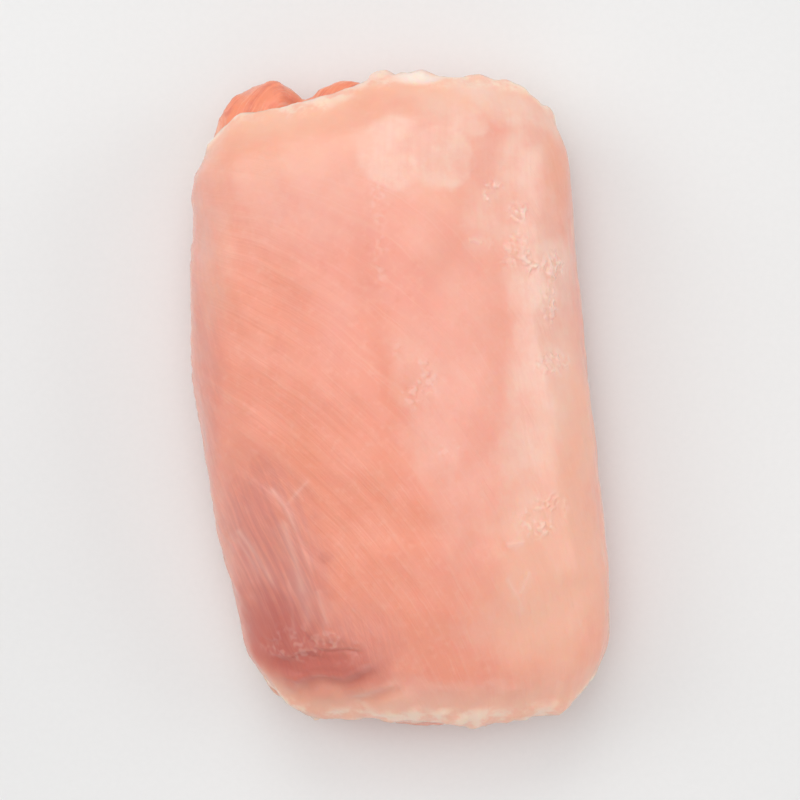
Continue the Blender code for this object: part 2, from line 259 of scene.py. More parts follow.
# More orange stretches of the meat, and a painted glow: the orange band at the far right edge stands in for
# light shining through the thin flesh
WARM_AND_GLOW_PATCHES = [
    ((-0.0110, -0.0180), (0.0150, 0.0190), 20, 1.00),
    ((-0.0210, 0.0050), (0.0120, 0.0260), 10, 0.60),
    ((-0.0050, 0.0060), (0.0100, 0.0090), 0, 0.55),
    ((0.0080, -0.0400), (0.0240, 0.0110), 0, 0.70),
    ((-0.0220, 0.0450), (0.0160, 0.0060), 0, 0.50),
    ((-0.0050, 0.0492), (0.0100, 0.0036), 5, 0.50),
    ((0.0276, 0.0410), (0.0036, 0.0090), 0, 1.00),
]
# Paler, creamier stretches of the meat
CREAM_PATCHES = [
    ((0.0262, -0.0300), (0.0110, 0.0200), 0, 0.80),
    ((0.0290, -0.0080), (0.0070, 0.0200), -6, 0.75),
    ((-0.0180, 0.0440), (0.0170, 0.0070), 8, 0.50),
    ((0.0060, 0.0350), (0.0050, 0.0040), 0, 0.40),
    ((0.0080, 0.0505), (0.0090, 0.0040), 0, 0.60),
    ((0.0264, 0.0420), (0.0030, 0.0070), 0, 0.45),
]
# White tips of fat on the far edge
FAT_TIPS = [((0.0029, 0.0546), (0.0038, 0.0013), 0, 1.00)]

# Threads of sinew on the upper face, and two short pale dashes on the right that are painted highlights of
# small wrinkles: path in plan, half width, height
THREADS_AND_GLINT_DASHES = [
    ([(-0.0226, -0.0148), (-0.0196, -0.0186), (-0.0172, -0.0240), (-0.0142, -0.0320)], 0.00032, 0.00007),
    ([(-0.0196, -0.0186), (-0.0184, -0.0170), (-0.0170, -0.0154), (-0.0150, -0.0134)], 0.00026, 0.00005),
    ([(-0.0284, -0.0222), (-0.0268, -0.0246), (-0.0250, -0.0276), (-0.0214, -0.0340)], 0.00040, 0.00006),
    ([(-0.0288, -0.0236), (-0.0268, -0.0270), (-0.0244, -0.0316)], 0.00026, 0.00004),
    ([(-0.0204, -0.0196), (-0.0184, -0.0260), (-0.0168, -0.0330), (-0.0160, -0.0410)], 0.00070, 0.00006),
    ([(-0.0196, -0.0300), (-0.0190, -0.0360), (-0.0184, -0.0425)], 0.00034, 0.00003),
    ([(-0.0142, -0.0320), (-0.0134, -0.0352), (-0.0122, -0.0394)], 0.00034, 0.00005),
    ([(0.0173, -0.0298), (0.0184, -0.0318), (0.0197, -0.0336), (0.0205, -0.0376)], 0.00028, 0.00006),
    ([(0.0214, -0.0288), (0.0206, -0.0314), (0.0197, -0.0336)], 0.00028, 0.00007),
    ([(0.0174, -0.0250), (0.0190, -0.0245), (0.0208, -0.0243)], 0.00044, 0.00012),
    ([(0.0112, 0.0264), (0.0124, 0.0264), (0.0138, 0.0258)], 0.00040, 0.00012),
]
# A thread this high shows at full strength
FULL_THREAD = 0.00008
# Sharp little creases where the sheet gathers at its near left corner: path in plan, half width, depth
CREASES = [
    ([(-0.0236, -0.0436), (-0.0200, -0.0447), (-0.0166, -0.0440), (-0.0128, -0.0446)], 0.00050, 0.00034),
    ([(-0.0196, -0.0462), (-0.0160, -0.0472), (-0.0124, -0.0462), (-0.0088, -0.0460)], 0.00045, 0.00030),
    ([(-0.0152, -0.0428), (-0.0124, -0.0434), (-0.0094, -0.0427), (-0.0062, -0.0432)], 0.00040, 0.00026),
    ([(-0.0226, -0.0490), (-0.0192, -0.0486), (-0.0160, -0.0500), (-0.0120, -0.0494)], 0.00050, 0.00030),
    ([(-0.0250, -0.0400), (-0.0226, -0.0416), (-0.0200, -0.0412)], 0.00040, 0.00018),
]
# Beads of fat on the edges of the sheet: from where to where round it and along it, how many
FAT_BEADS = [
    ((0.450, 0.500), (0.984, 0.996), 6),
    ((0.730, 0.760), (0.984, 0.996), 3),
    ((0.030, 0.150), (0.984, 0.996), 7),
    ((0.850, 0.960), (0.984, 0.996), 6),
    ((0.300, 0.360), (0.004, 0.016), 4),
    ((0.560, 0.700), (0.004, 0.016), 8),
    ((0.040, 0.160), (0.004, 0.016), 6),
    ((0.840, 0.960), (0.004, 0.016), 6),
    ((0.000, 0.006), (0.200, 0.900), 14),
    ((0.988, 0.998), (0.120, 0.860), 14),
]


def through(points, at):
    """A smooth curve through (position, value) points, read at one or more positions."""
    places, values = np.array(points, float).T
    slopes = np.gradient(values, places)
    i = np.clip(np.searchsorted(places, at) - 1, 0, len(places) - 2)
    gap = places[i + 1] - places[i]
    t = np.clip((at - places[i]) / gap, 0.0, 1.0)
    return (
        (2 * t**3 - 3 * t**2 + 1) * values[i]
        + (t**3 - 2 * t**2 + t) * gap * slopes[i]
        + (3 * t**2 - 2 * t**3) * values[i + 1]
        + (t**3 - t**2) * gap * slopes[i + 1]
    )


def squared_off(cosine, power):
    """A cosine or sine drawn out towards a box, as in a superellipse."""
    return math.copysign(abs(cosine) ** (2.0 / power), cosine)


def outline(y):
    """The left and right sides of the bundle's outline at Y, and the heights of its crown and waist."""
    crown = HEIGHT * through(CROWN, y)
    waist = WAIST_HEIGHT * (0.55 + 0.45 * crown / HEIGHT)
    return through(LEFT_SIDE, y), through(RIGHT_SIDE, y), crown, waist


def cross_section(turn, y, inset):
    """A point of the bundle's outline at Y, turn radians round from its right side, moved in by inset."""
    left, right, crown, waist = outline(y)
    half_width = 0.5 * (right - left) - inset
    x = 0.5 * (left + right) + half_width * squared_off(math.cos(turn), SIDE_POWER)
    if math.sin(turn) >= 0:
        rise = crown - waist - inset
        return x, waist + rise * squared_off(math.sin(turn), TOP_POWER)
    drop = waist - inset
    return x, waist + drop * squared_off(math.sin(turn), BASE_POWER)


def seam_turn(y):
    """Where the seam runs under the bundle, which wanders a little along its length, in radians."""
    broad_swing = 0.22 * math.sin(y * 52.0)
    small_swing = 0.10 * math.sin(y * 131.0 + 1.0)
    return -0.5 * math.pi - 0.10 + broad_swing + small_swing


def sheet_point(u, v):
    """The middle surface of the sheet: u runs round it from its right edge to its left edge, v along it."""
    fray = 0.06 * noise.noise(Vector((u * 3.0, v * 9.0, 21.0)))
    right_edge = seam_turn((v - 0.5) * LENGTH) + 0.10 + fray
    turn = right_edge + u * (2.0 * math.pi - SEAM_GAP)
    share = math.cos(turn)
    under = max(0.0, -math.sin(turn))
    far = through(FAR_EDGE, share) - FAR_SHORTENING * under
    near = through(NEAR_EDGE, share) + NEAR_SHORTENING * under
    fine_rag = 0.0014 * noise.noise(Vector((u * 34.0, v * 2.0, 3.0)))
    broad_rag = 0.0017 * noise.noise(Vector((u * 11.0, v, 8.0)))
    y = near + (far - near) * v + (fine_rag + broad_rag) * (2.0 * v - 1.0)
    right_curl = max(0.0, 1.0 - u / 0.07) ** 1.5
    left_curl = max(0.0, (u - 0.88) / 0.12) ** 1.4
    tuck = RIGHT_TUCK * right_curl + LEFT_TUCK * left_curl
    x, z = cross_section(turn, y, 0.5 * SHEET_THICKNESS + tuck)
    return Vector((x, y, z))


def new_object(name, data, collection):
    """An object for a mesh, a light or a camera, linked to a collection."""
    obj = bpy.data.objects.new(name, data)
    collection.objects.link(obj)
    return obj


def make_sheet(collection):
    """The wrapped sheet: a bent grid, thick in the middle and thin at its edges."""
    around, along = 60, 36
    side_rows, end_rows = 4.0, 3.0
    mesh = bpy.data.meshes.new("sheet")
    grid = bmesh.new()
    bmesh.ops.create_grid(grid, x_segments=around, y_segments=along, size=0.5)
    for vert in grid.verts:
        vert.co = sheet_point(vert.co.x + 0.5, vert.co.y + 0.5)
    grid.to_mesh(mesh)
    grid.free()
    obj = new_object("sheet", mesh, collection)
    thickness = obj.vertex_groups.new(name="thickness")
    for vert in range(len(mesh.vertices)):
        column, row = vert % (around + 1), vert // (around + 1)
        from_side = min(column, around - column) / side_rows
        from_end = min(row, along - row) / end_rows
        share = EDGE_THICKNESS_SHARE + (1.0 - EDGE_THICKNESS_SHARE) * min(from_side, from_end, 1.0)
        thickness.add([vert], share, "REPLACE")
    solid = obj.modifiers.new("Thickness", "SOLIDIFY")
    solid.thickness = SHEET_THICKNESS
    solid.offset = 0.0
    solid.vertex_group = thickness.name
    solid.use_rim = True
    soft = obj.modifiers.new("Soft", "SUBSURF")
    soft.levels = soft.render_levels = 1
    return obj


def make_core(collection):
    """The thick muscles inside the bundle, which fill it nearly to its ends."""
    half_length = 0.5 * LENGTH - CORE_INSET
    bluntness = 0.42
    mesh = bpy.data.meshes.new("core")
    ball = bmesh.new()
    bmesh.ops.create_uvsphere(ball, u_segments=48, v_segments=32, radius=1.0)
    for vert in ball.verts:
        along, turn = vert.co.z, math.atan2(vert.co.y, vert.co.x)
        ring = math.sqrt(max(0.0, 1.0 - along * along)) ** bluntness
        y = along * half_length
        x, z = cross_section(turn, y, 0.5 * SHEET_THICKNESS)
        middle_x, _ = cross_section(0.5 * math.pi, y, 0.0)
        vert.co = Vector((middle_x + ring * (x - middle_x), y, WAIST_HEIGHT + ring * (z - WAIST_HEIGHT)))
    bmesh.ops.recalc_face_normals(ball, faces=ball.faces)
    ball.to_mesh(mesh)
    ball.free()
    return new_object("core", mesh, collection)


def make_lump(name, centre, radii, turns, bumps, collection):
    """A rounded lump of meat or fat, uneven by the depth of its bumps."""
    mesh = bpy.data.meshes.new(name)
    ball = bmesh.new()
    bmesh.ops.create_icosphere(ball, subdivisions=4, radius=1.0)
    spin = Euler([math.radians(turn) for turn in turns]).to_matrix().to_4x4()
    place = Matrix.Translation(centre) @ spin @ Matrix.Diagonal((*radii, 1.0))
    part_of_noise = Vector(centre) * 900.0
    for vert in ball.verts:
        swell = 1.0 + bumps * noise.noise(vert.co * 1.6 + part_of_noise)
        vert.co = place @ (vert.co * swell)
    ball.to_mesh(mesh)
    ball.free()
    return new_object(name, mesh, collection)


def evaluated_mesh(obj):
    """The mesh that an object's modifiers make."""
    graph = bpy.context.evaluated_depsgraph_get()
    return bpy.data.meshes.new_from_object(obj.evaluated_get(graph))


def apply_modifiers(obj):
    """Puts the mesh that an object's modifiers make in the place of its own."""
    bpy.context.view_layer.update()
    obj.data = evaluated_mesh(obj)
    obj.modifiers.clear()


def smoothstep(low, high, value):
    """A soft step from 0 at low to 1 at high, which may also lie below low."""
    t = np.clip((value - low) / (high - low), 0.0, 1.0)
    return t * t * (3.0 - 2.0 * t)


def off_path(x, y, path):
    """How far each place is in plan from a smooth line through a path, and how far along it from 0 to 1."""
    samples = 120
    spots = np.linspace(0.0, len(path) - 1.0, samples)
    line_x = through([(i, point[0]) for i, point in enumerate(path)], spots)
    line_y = through([(i, point[1]) for i, point in enumerate(path)], spots)
    gaps = np.hypot(x[:, None] - line_x, y[:, None] - line_y)
    nearest = gaps.argmin(axis=1)
    return gaps[np.arange(len(x)), nearest], nearest / (samples - 1.0)


def uneven(places, height, fineness, shift):
    """Soft random heights, with bumps about 1 / fineness wide. Another shift gives another pattern."""
    aside = Vector((shift, 0.0, 0.0))
    return height * np.array([noise.noise(Vector(place) * fineness + aside) for place in places])


def read_places(mesh):
    """Where the vertices of a mesh are, one row each."""
    co = np.empty(len(mesh.vertices) * 3)
    mesh.vertices.foreach_get("co", co)
    return co.reshape(-1, 3)


def write_places(mesh, co):
    """Moves the vertices of a mesh to new places."""
    mesh.vertices.foreach_set("co", co.ravel())
    mesh.update()


def read_normals(mesh):
    """The normals at the vertices of a mesh, one row each."""
    normal = np.empty(len(mesh.vertices) * 3)
    mesh.vertex_normals.foreach_get("vector", normal)
    return normal.reshape(-1, 3)


def faded_ends(along, full_from, full_to):
    """A share that is 0 at both ends of a path, and 1 from full_from to full_to along it."""
    return smoothstep(0.0, full_from, along) * smoothstep(1.0, full_to, along)


def off_folds(co, folds):
    """For each fold: the half widths from it to each place, a share that fades at its ends, its depth."""
    waver = uneven(co, 0.0008, 150.0, 9.0)
    found = []
    for path, half_width, depth in folds:
        gap, along = off_path(co[:, 0] + waver, co[:, 1] - waver, path)
        found.append((gap / half_width, faded_ends(along, 0.25, 0.75), depth))
    return found


def carve_relief(mesh):
    """Moves the skin in and out: the soft unevenness of meat all over, and the named forms on top."""
    co, normal = read_places(mesh), read_normals(mesh)
    lift = uneven(co, 0.0009, 48.0, 0.0) + uneven(co, 0.0005, 120.0, 5.0)
    for centre, radius, height in SWELLS:
        lift += height * np.exp(-((co - centre) ** 2).sum(axis=1) / radius**2)
    upper = smoothstep(0.05, 0.55, normal[:, 2]) * smoothstep(0.008, 0.014, co[:, 2])
    for gap, fade, depth in off_folds(co, [MUSCLE_DIVIDE, FASCIA_RIDGE, *GATHERS]):
        lift -= upper * fade * depth * np.exp(-(gap**2))
    write_places(mesh, co + lift[:, None] * normal)


def keep_largest_body(mesh):
    """Drops loose scraps, and the walls of any hollow that is sealed inside."""
    whole = bmesh.new()
    whole.from_mesh(mesh)
    bodies, seen = [], set()
    for start in whole.verts:
        if start in seen:
            continue
        body, edge_of_body = [start], [start]
        seen.add(start)
        while edge_of_body:
            for edge in edge_of_body.pop().link_edges:
                for vert in edge.verts:
                    if vert not in seen:
                        seen.add(vert)
                        body.append(vert)
                        edge_of_body.append(vert)
        bodies.append(body)
    bodies.sort(key=len, reverse=True)
    for body in bodies[1:]:
        bmesh.ops.delete(whole, geom=body, context="VERTS")
    whole.to_mesh(mesh)
    whole.free()


def draw_skin(pieces, name, collection):
    """One closed skin over all the pieces, softened."""
    joined = bmesh.new()
    for piece in pieces:
        joined.from_mesh(evaluated_mesh(piece))
        bpy.data.objects.remove(piece)
    mesh = bpy.data.meshes.new(name)
    joined.to_mesh(mesh)
    joined.free()
    obj = new_object(name, mesh, collection)
    skin = obj.modifiers.new("Skin", "REMESH")
    skin.mode = "VOXEL"
    skin.voxel_size = VOXEL
    soften = obj.modifiers.new("Soften", "SMOOTH")
    soften.factor = 0.5
    soften.iterations = SOFTENING_PASSES
    apply_modifiers(obj)
    return obj


def press_underside(mesh):
    """Presses the underside flat where the thigh lies on the surface, and sets it down at Z 0."""
    co = read_places(mesh)
    above = np.maximum(0.0, co[:, 2] - PRESSED_HEIGHT)
    co[:, 2] = np.where(above < PRESSED_EDGE, above**2 / (2.0 * PRESSED_EDGE), above - 0.5 * PRESSED_EDGE)
    write_places(mesh, co)


def search_tree(objects):
    """One search tree over the surfaces of several objects."""
    joined = bmesh.new()
    for obj in objects:
        joined.from_mesh(evaluated_mesh(obj))
    tree = BVHTree.FromBMesh(joined)
    joined.free()
    return tree


def distances(tree, co):
    """How far each place is from the surfaces in a search tree."""
    return np.array([tree.find_nearest(Vector(place))[3] for place in co])


def wrapped_place(co):
    """Where places lie in the bundle: their turn round it in radians, and their depth in metres."""
    x, y, z = co.T
    left, right, crown, waist = outline(y)
    sideways = (x - 0.5 * (left + right)) / (0.5 * (right - left))
    upward = (z - waist) / np.where(z >= waist, crown - waist, waist)
    power = np.where(z >= waist, TOP_POWER, BASE_POWER)
    cosine = np.sign(sideways) * np.abs(sideways) ** (0.5 * SIDE_POWER)
    sine = np.sign(upward) * np.abs(upward) ** (0.5 * power)
    turn = np.arctan2(sine, cosine)
    depth = (1.0 - np.hypot(sine, cosine) ** (2.0 / SIDE_POWER)) * waist
    return turn, depth


def arc_from_top(turn):
    """How far round the outline each turn is from the middle of the top, in metres."""
    turns = np.linspace(-0.5 * math.pi, 1.5 * math.pi, 361)
    ring = np.array([cross_section(step, 0.0, 0.0) for step in turns])
    run = np.concatenate(([0.0], np.cumsum(np.hypot(*np.diff(ring, axis=0).T))))
    top = np.interp(0.5 * math.pi, turns, run)
    past_seam = np.where(turn < -0.5 * math.pi, turn + 2.0 * math.pi, turn)
    return top - np.interp(past_seam, turns, run)


def patches(x, y, ovals, ragged, soft=0.5):
    """How much each place belongs to any of several ovals, with edges as ragged and as soft as given."""
    edge = 0.95
    most = np.zeros(len(x))
    for centre, radii, turn, strength in ovals:
        angle = math.radians(turn)
        across, along = x - centre[0], y - centre[1]
        first = (across * math.cos(angle) + along * math.sin(angle)) / radii[0]
        second = (along * math.cos(angle) - across * math.sin(angle)) / radii[1]
        off_centre = np.hypot(first, second) + ragged
        most = np.maximum(most, strength * smoothstep(edge + soft, edge - soft, off_centre))
    return most


def off_threads(x, y):
    """For each thread: which places are near it, the same two numbers as for a fold, and its height."""
    reach = 0.003
    found = []
    for path, half_width, height in THREADS_AND_GLINT_DASHES:
        low, high = np.min(path, axis=0) - reach, np.max(path, axis=0) + reach
        near = np.flatnonzero((x > low[0]) & (x < high[0]) & (y > low[1]) & (y < high[1]))
        gap, along = off_path(x[near], y[near], path)
        found.append((near, gap / half_width, faded_ends(along, 0.12, 0.80), height))
    return found


def refine_skin(mesh):
    """Makes the skin finer where it holds threads and wrinkles, in two rounds."""
    # How many half widths off a thread, and from what share of wrinkles, each round makes it finer
    rounds = [(6.0, 0.20), (3.5, 0.30)]
    fine = bmesh.new()
    fine.from_mesh(mesh)
    for reach, least_share in rounds:
        x, y, z = np.array([vert.co for vert in fine.verts]).T
        chosen = patches(x, y, WRINKLE_PATCHES, 0.0) > least_share
        for near, gap, _, _ in off_threads(x, y):
            chosen[near[gap < reach]] = True
        chosen &= z > WAIST_HEIGHT
        edges = [edge for edge in fine.edges if all(chosen[vert.index] for vert in edge.verts)]
        bmesh.ops.subdivide_edges(fine, edges=edges, cuts=1, use_grid_fill=True)
        fine.verts.index_update()
    fine.to_mesh(mesh)
    fine.free()


def nearest_piece(co, depth, sheet_tree, muscle_tree, fat_tree):
    """Shares for fat and for bare inner muscle, from which piece lies nearest under each place."""
    blend = 0.0005
    to_sheet, to_muscle, to_fat = (distances(tree, co) for tree in (sheet_tree, muscle_tree, fat_tree))
    fat = smoothstep(-blend, blend, np.minimum(to_sheet, to_muscle) - to_fat)
    bare = smoothstep(-blend, blend, to_sheet - to_muscle) * (1.0 - fat) * smoothstep(0.0, 0.0020, depth)
    return fat, bare


def in_from_edge(co, turn):
    """How far in from the ragged near or far edge of the sheet each place is, in metres."""
    under = np.maximum(0.0, -np.sin(turn))
    far_gap = through(FAR_EDGE, np.cos(turn)) - FAR_SHORTENING * under - co[:, 1]
    near_gap = co[:, 1] - through(NEAR_EDGE, np.cos(turn)) - NEAR_SHORTENING * under
    return np.minimum(far_gap, near_gap) + uneven(co, 0.0012, 330.0, 3.0)


def fibre_place(co, arc, inner):
    """Where places are across and along the fibres, which slant over the bundle, in metres."""
    x, y, z = co.T
    waver = uneven(co, 0.0014, 70.0, 17.0) + uneven(co, 0.0004, 230.0, 18.0)
    slope = 1.19 + 3.8 * arc - 20.0 * y
    across = (slope * arc + y + waver) * (1.0 - inner) + 1.4 * (x + 2.0 * z) * inner
    along = (arc - slope * y) * (1.0 - inner) + 1.4 * y * inner
    return across, along


def threads_and_folds(co):
    """Shares for the threads of sinew and the dashes of painted highlight, for the pale halo beside them,
    and for the painted shade in the folds.
    """
    sinew_and_glint_dashes, halo, folds = np.zeros((3, len(co)))
    broken = smoothstep(-0.55, 0.25, uneven(co, 1.0, 230.0, 19.0))
    for near, gap, ends, height in off_threads(*co[:, :2].T):
        fade = ends * min(1.0, height / FULL_THREAD)
        sinew_and_glint_dashes[near] = np.maximum(sinew_and_glint_dashes[near], fade * broken[near] * np.exp(-(gap**2)))
        halo[near] = np.maximum(halo[near], fade * np.exp(-((gap / 3.0) ** 2)))
    # Where the folds and creases run, for their painted shade
    for gap, fade, _ in off_folds(co, GATHERS + CREASES):
        folds = np.maximum(folds, fade * np.exp(-((1.3 * gap) ** 2)))
    return sinew_and_glint_dashes, halo, folds


def survey(mesh, trees):
    """What each place of the skin is, as shares from 0 to 1, and where it lies, in millimetres.

    The wrap place is across and along the bundle and under its outline. The grain place is across and
    along the fibres of the meat.
    """
    co, normal = read_places(mesh), read_normals(mesh)
    x, y, _ = co.T
    turn, depth = wrapped_place(co)
    arc = arc_from_top(turn)
    fat, inner = nearest_piece(co, depth, *trees)
    covered = (1.0 - inner) * (1.0 - fat)
    outer = smoothstep(0.0050, 0.0030, depth) * (1.0 - inner)
    upper = smoothstep(-0.10, 0.45, normal[:, 2])
    flank = smoothstep(0.50, 0.0, normal[:, 2])
    rim_gap = in_from_edge(co, turn)

    ragged = uneven(co, 0.20, 160.0, 11.0) + uneven(co, 0.12, 480.0, 12.0)
    tips = patches(x, y, FAT_TIPS, ragged) * upper
    membrane_and_sheen = patches(x, y, MEMBRANE_AND_SHEEN_PATCHES, ragged)
    membrane_and_sheen = np.maximum(membrane_and_sheen, patches(x, y, MEMBRANE_SCRAPS, 0.6 * ragged, 0.13))
    clusters = smoothstep(-0.30, 0.10, uneven(co, 1.0, 330.0, 13.0))
    clouds = uneven(co, 0.45, 60.0, 14.0) + uneven(co, 0.25, 150.0, 15.0)
    torn = uneven(co * (1.0, 0.30, 1.0), 1.0, 520.0, 23.0) + uneven(co, 0.35, 900.0, 25.0)
    scraps = smoothstep(0.16, 0.42, torn) * smoothstep(0.05, 0.30, uneven(co, 1.0, 70.0, 24.0))

    sinew_and_glint_dashes, halo, folds = threads_and_folds(co)
    across, along = fibre_place(co, arc, inner)
    strands = np.column_stack((300.0 * across, 25.0 * along, np.zeros(len(co))))
    slanted_arc = arc + 0.33 * y * smoothstep(0.0, -0.020, arc)
    return {
        "fat": np.maximum(fat, tips),
        "tips": tips,
        "inner": inner,
        "rim": smoothstep(0.0030, 0.0010, rim_gap) * covered,
        "border": smoothstep(0.0085, 0.0010, rim_gap) * covered,
        "membrane_and_sheen": membrane_and_sheen * upper * outer,
        "cool_and_shade": patches(x, y, COOL_AND_SHADE_PATCHES, ragged) * upper * outer,
        "wrinkle": patches(x, y, WRINKLE_PATCHES, ragged) * clusters * upper * outer,
        "granules_and_glints": smoothstep(-0.20, 0.40, uneven(co, 1.0, 1150.0, 43.0)),
        "blush_and_shade": patches(x, y, BLUSH_AND_SHADE_PATCHES, ragged) * upper,
        "cream": patches(x, y, CREAM_PATCHES, ragged) * upper,
        "warm_and_glow": np.clip(patches(x, y, WARM_AND_GLOW_PATCHES, ragged) * upper + clouds, 0.0, 1.0),
        "flank": flank * covered,
        "scraps": scraps * flank * covered,
        "bundles": smoothstep(-0.25, 0.45, uneven(strands, 1.0, 1.0, 0.0)) * covered,
        "sinew_and_glint_dashes": sinew_and_glint_dashes * upper,
        "halo": halo * upper,
        "folds": folds * upper,
        "wrap": 1000.0 * np.column_stack((slanted_arc, y, depth)),
        "grain": 1000.0 * np.column_stack((across, along, depth)),
    }


def carve_fine_relief(mesh, shares):
    """The finer relief that the solid leaves out, of the fibres, membrane, fat and torn meat."""
    co, normal = read_places(mesh), read_normals(mesh)
    bundles = (0.00007 + 0.00012 * shares["flank"]) * shares["bundles"]
    scraps = 0.00014 * shares["scraps"]
    skin = uneven(co, 0.00014, 260.0, 31.0)
    crumples = 1.0 - 3.0 * np.abs(uneven(co, 1.0, 700.0, 41.0))
    wrinkles = (0.00008 * crumples + 0.00016 * shares["granules_and_glints"]) * shares["wrinkle"]
    fat = (uneven(co, 0.00050, 300.0, 51.0) + uneven(co, 0.00025, 640.0, 61.0)) * shares["fat"]
    rim = (uneven(co, 0.00040, 420.0, 91.0) + 0.00015) * shares["rim"]
    strands = uneven(co * (420.0, 70.0, 420.0), 0.00042, 1.0, 71.0)
    inner = (strands + uneven(co, 0.00016, 700.0, 81.0)) * shares["inner"]
    membrane_and_sheen = 0.00002 * shares["membrane_and_sheen"]
    lift = bundles + scraps + skin + wrinkles + fat + rim + inner + membrane_and_sheen
    for gap, fade, depth in off_folds(co, CREASES):
        fade = fade * (co[:, 2] > WAIST_HEIGHT)
        lift -= depth * fade * np.exp(-(gap**2))
    for near, gap, ends, height in off_threads(*co[:, :2].T):
        fade = ends * shares["halo"][near]
        lift[near] += height * fade * np.exp(-(gap**2))
    write_places(mesh, co + lift[:, None] * normal)


def centre_in_plan(mesh):
    """Moves the thigh so that the middle of its box in plan is at the origin."""
    co = read_places(mesh)
    co[:, :2] -= 0.5 * (co[:, :2].min(axis=0) + co[:, :2].max(axis=0))
    write_places(mesh, co)


def store(mesh, shares):
    """Keeps the shares on the mesh for the material to read."""
    for name, values in shares.items():
        if values.ndim == 2:
            mesh.attributes.new(name, "FLOAT_VECTOR", "POINT").data.foreach_set("vector", values.ravel())
        else:
            mesh.attributes.new(name, "FLOAT", "POINT").data.foreach_set("value", values)


def make_fat_beads(collection):
    """Small irregular beads of fat in loose rows along the edges of the sheet."""
    dice = random.Random(5)
    beads = []
    for around, along, count in FAT_BEADS:
        for _ in range(count):
            centre = sheet_point(dice.uniform(*around), dice.uniform(*along))
            size = dice.uniform(0.0009, 0.0018)
            radii = [size * dice.uniform(0.8, 1.5) for _ in range(3)]
            turns = [dice.uniform(0, 180) for _ in range(3)]
            beads.append(make_lump("bead", centre, radii, turns, FAT_BUMPS, collection))
    return beads


def make_thigh(collection):
    """The whole thigh as one closed, finely carved skin."""
    sheet, core = make_sheet(collection), make_core(collection)
    muscles = [make_lump(name, *rest, MUSCLE_BUMPS, collection) for name, *rest in INNER_MUSCLES]
    fat = [make_lump("fat", *rest, FAT_BUMPS, collection) for rest in FAT_PADS] + make_fat_beads(collection)
    bpy.context.view_layer.update()
    trees = search_tree([sheet]), search_tree([core, *muscles]), search_tree(fat)
    thigh = draw_skin([sheet, core, *muscles, *fat], "thigh", collection)
    mesh = thigh.data
    keep_largest_body(mesh)
    refine_skin(mesh)
    shares = survey(mesh, trees)
    carve_relief(mesh)
    carve_fine_relief(mesh, shares)
    press_underside(mesh)
    centre_in_plan(mesh)
    store(mesh, shares)
    mesh.shade_smooth()
    return thigh


class Graph:
    """A material's node tree, with short calls for the nodes that are used here."""

    # The sockets of a mix node that take and give colours
    FIRST_COLOUR, SECOND_COLOUR, MIXED_COLOUR = 6, 7, 2

    def __init__(self, name):
        self.material = bpy.data.materials.new(name)
        self.material.use_nodes = True
        self.nodes = self.material.node_tree.nodes
        self.links = self.material.node_tree.links
        self.shader = self.nodes["Principled BSDF"]

    def feed(self, socket, value):
        """Links a socket to another node's output, or sets its value."""
        if isinstance(value, bpy.types.NodeSocket):
            self.links.new(value, socket)
        else:
            socket.default_value = value

    def share(self, name):
        """One of the shares that are kept on the mesh."""
        node = self.nodes.new("ShaderNodeAttribute")
        node.attribute_name = name
        return node.outputs["Fac"]

    def vector(self, name):
        """One of the places that are kept on the mesh."""
        node = self.nodes.new("ShaderNodeAttribute")
        node.attribute_name = name
        return node.outputs["Vector"]

    def place(self):
        """Where each point is on the object, in metres."""
        return self.nodes.new("ShaderNodeTexCoord").outputs["Object"]

    def stretch(self, vector, factors):
        """A vector with each of its three parts multiplied by a factor."""
        node = self.nodes.new("ShaderNodeVectorMath")
        node.operation = "MULTIPLY"
        self.feed(node.inputs[0], vector)
        node.inputs[1].default_value = factors
        return node.outputs["Vector"]

    def noise(self, vector, scale, detail, roughness):
        """A cloudy pattern from 0 to 1, with about scale bumps to a unit of the vector."""
        node = self.nodes.new("ShaderNodeTexNoise")
        self.feed(node.inputs["Vector"], vector)
        node.inputs["Scale"].default_value = scale
        node.inputs["Detail"].default_value = detail
        node.inputs["Roughness"].default_value = roughness
        return node.outputs["Fac"]

    def spread(self, value, low, high, to_low=0.0, to_high=1.0):
        """A soft step from to_low, where the value is at low, to to_high, where it is at high."""
        node = self.nodes.new("ShaderNodeMapRange")
        node.interpolation_type = "SMOOTHSTEP"
        self.feed(node.inputs["Value"], value)
        node.inputs["From Min"].default_value = low
        node.inputs["From Max"].default_value = high
        node.inputs["To Min"].default_value = to_low
        node.inputs["To Max"].default_value = to_high
        return node.outputs["Result"]

    def combine(self, operation, values):
        """One number from several, by the same operation from the first to the last."""
        result = values[0]
        for value in values[1:]:
            node = self.nodes.new("ShaderNodeMath")
            node.operation = operation
            self.feed(node.inputs[0], result)
            self.feed(node.inputs[1], value)
            result = node.outputs["Value"]
        return result

    def plus(self, *terms):
        """The sum of numbers."""
        return self.combine("ADD", terms)

    def times(self, *factors):
        """The product of numbers."""
        return self.combine("MULTIPLY", factors)

    def mix(self, share, first, second):
        """The first colour with a share of the second mixed in."""
        node = self.nodes.new("ShaderNodeMix")
        node.data_type = "RGBA"
        self.feed(node.inputs["Factor"], share)
        self.feed(node.inputs[self.FIRST_COLOUR], first)
        self.feed(node.inputs[self.SECOND_COLOUR], second)
        return node.outputs[self.MIXED_COLOUR]

    def bump(self, height):
        """A normal for a height in millimetres."""
        node = self.nodes.new("ShaderNodeBump")
        self.feed(node.inputs["Height"], height)
        node.inputs["Distance"].default_value = 0.001
        node.inputs["Strength"].default_value = 1.0
        return node.outputs["Normal"]

    def finish(self, **settings):
        """The material, with inputs of its shader set by their names, with underscores for spaces."""
        for name, value in settings.items():
            self.feed(self.shader.inputs[name.replace("_", " ")], value)
        return self.material


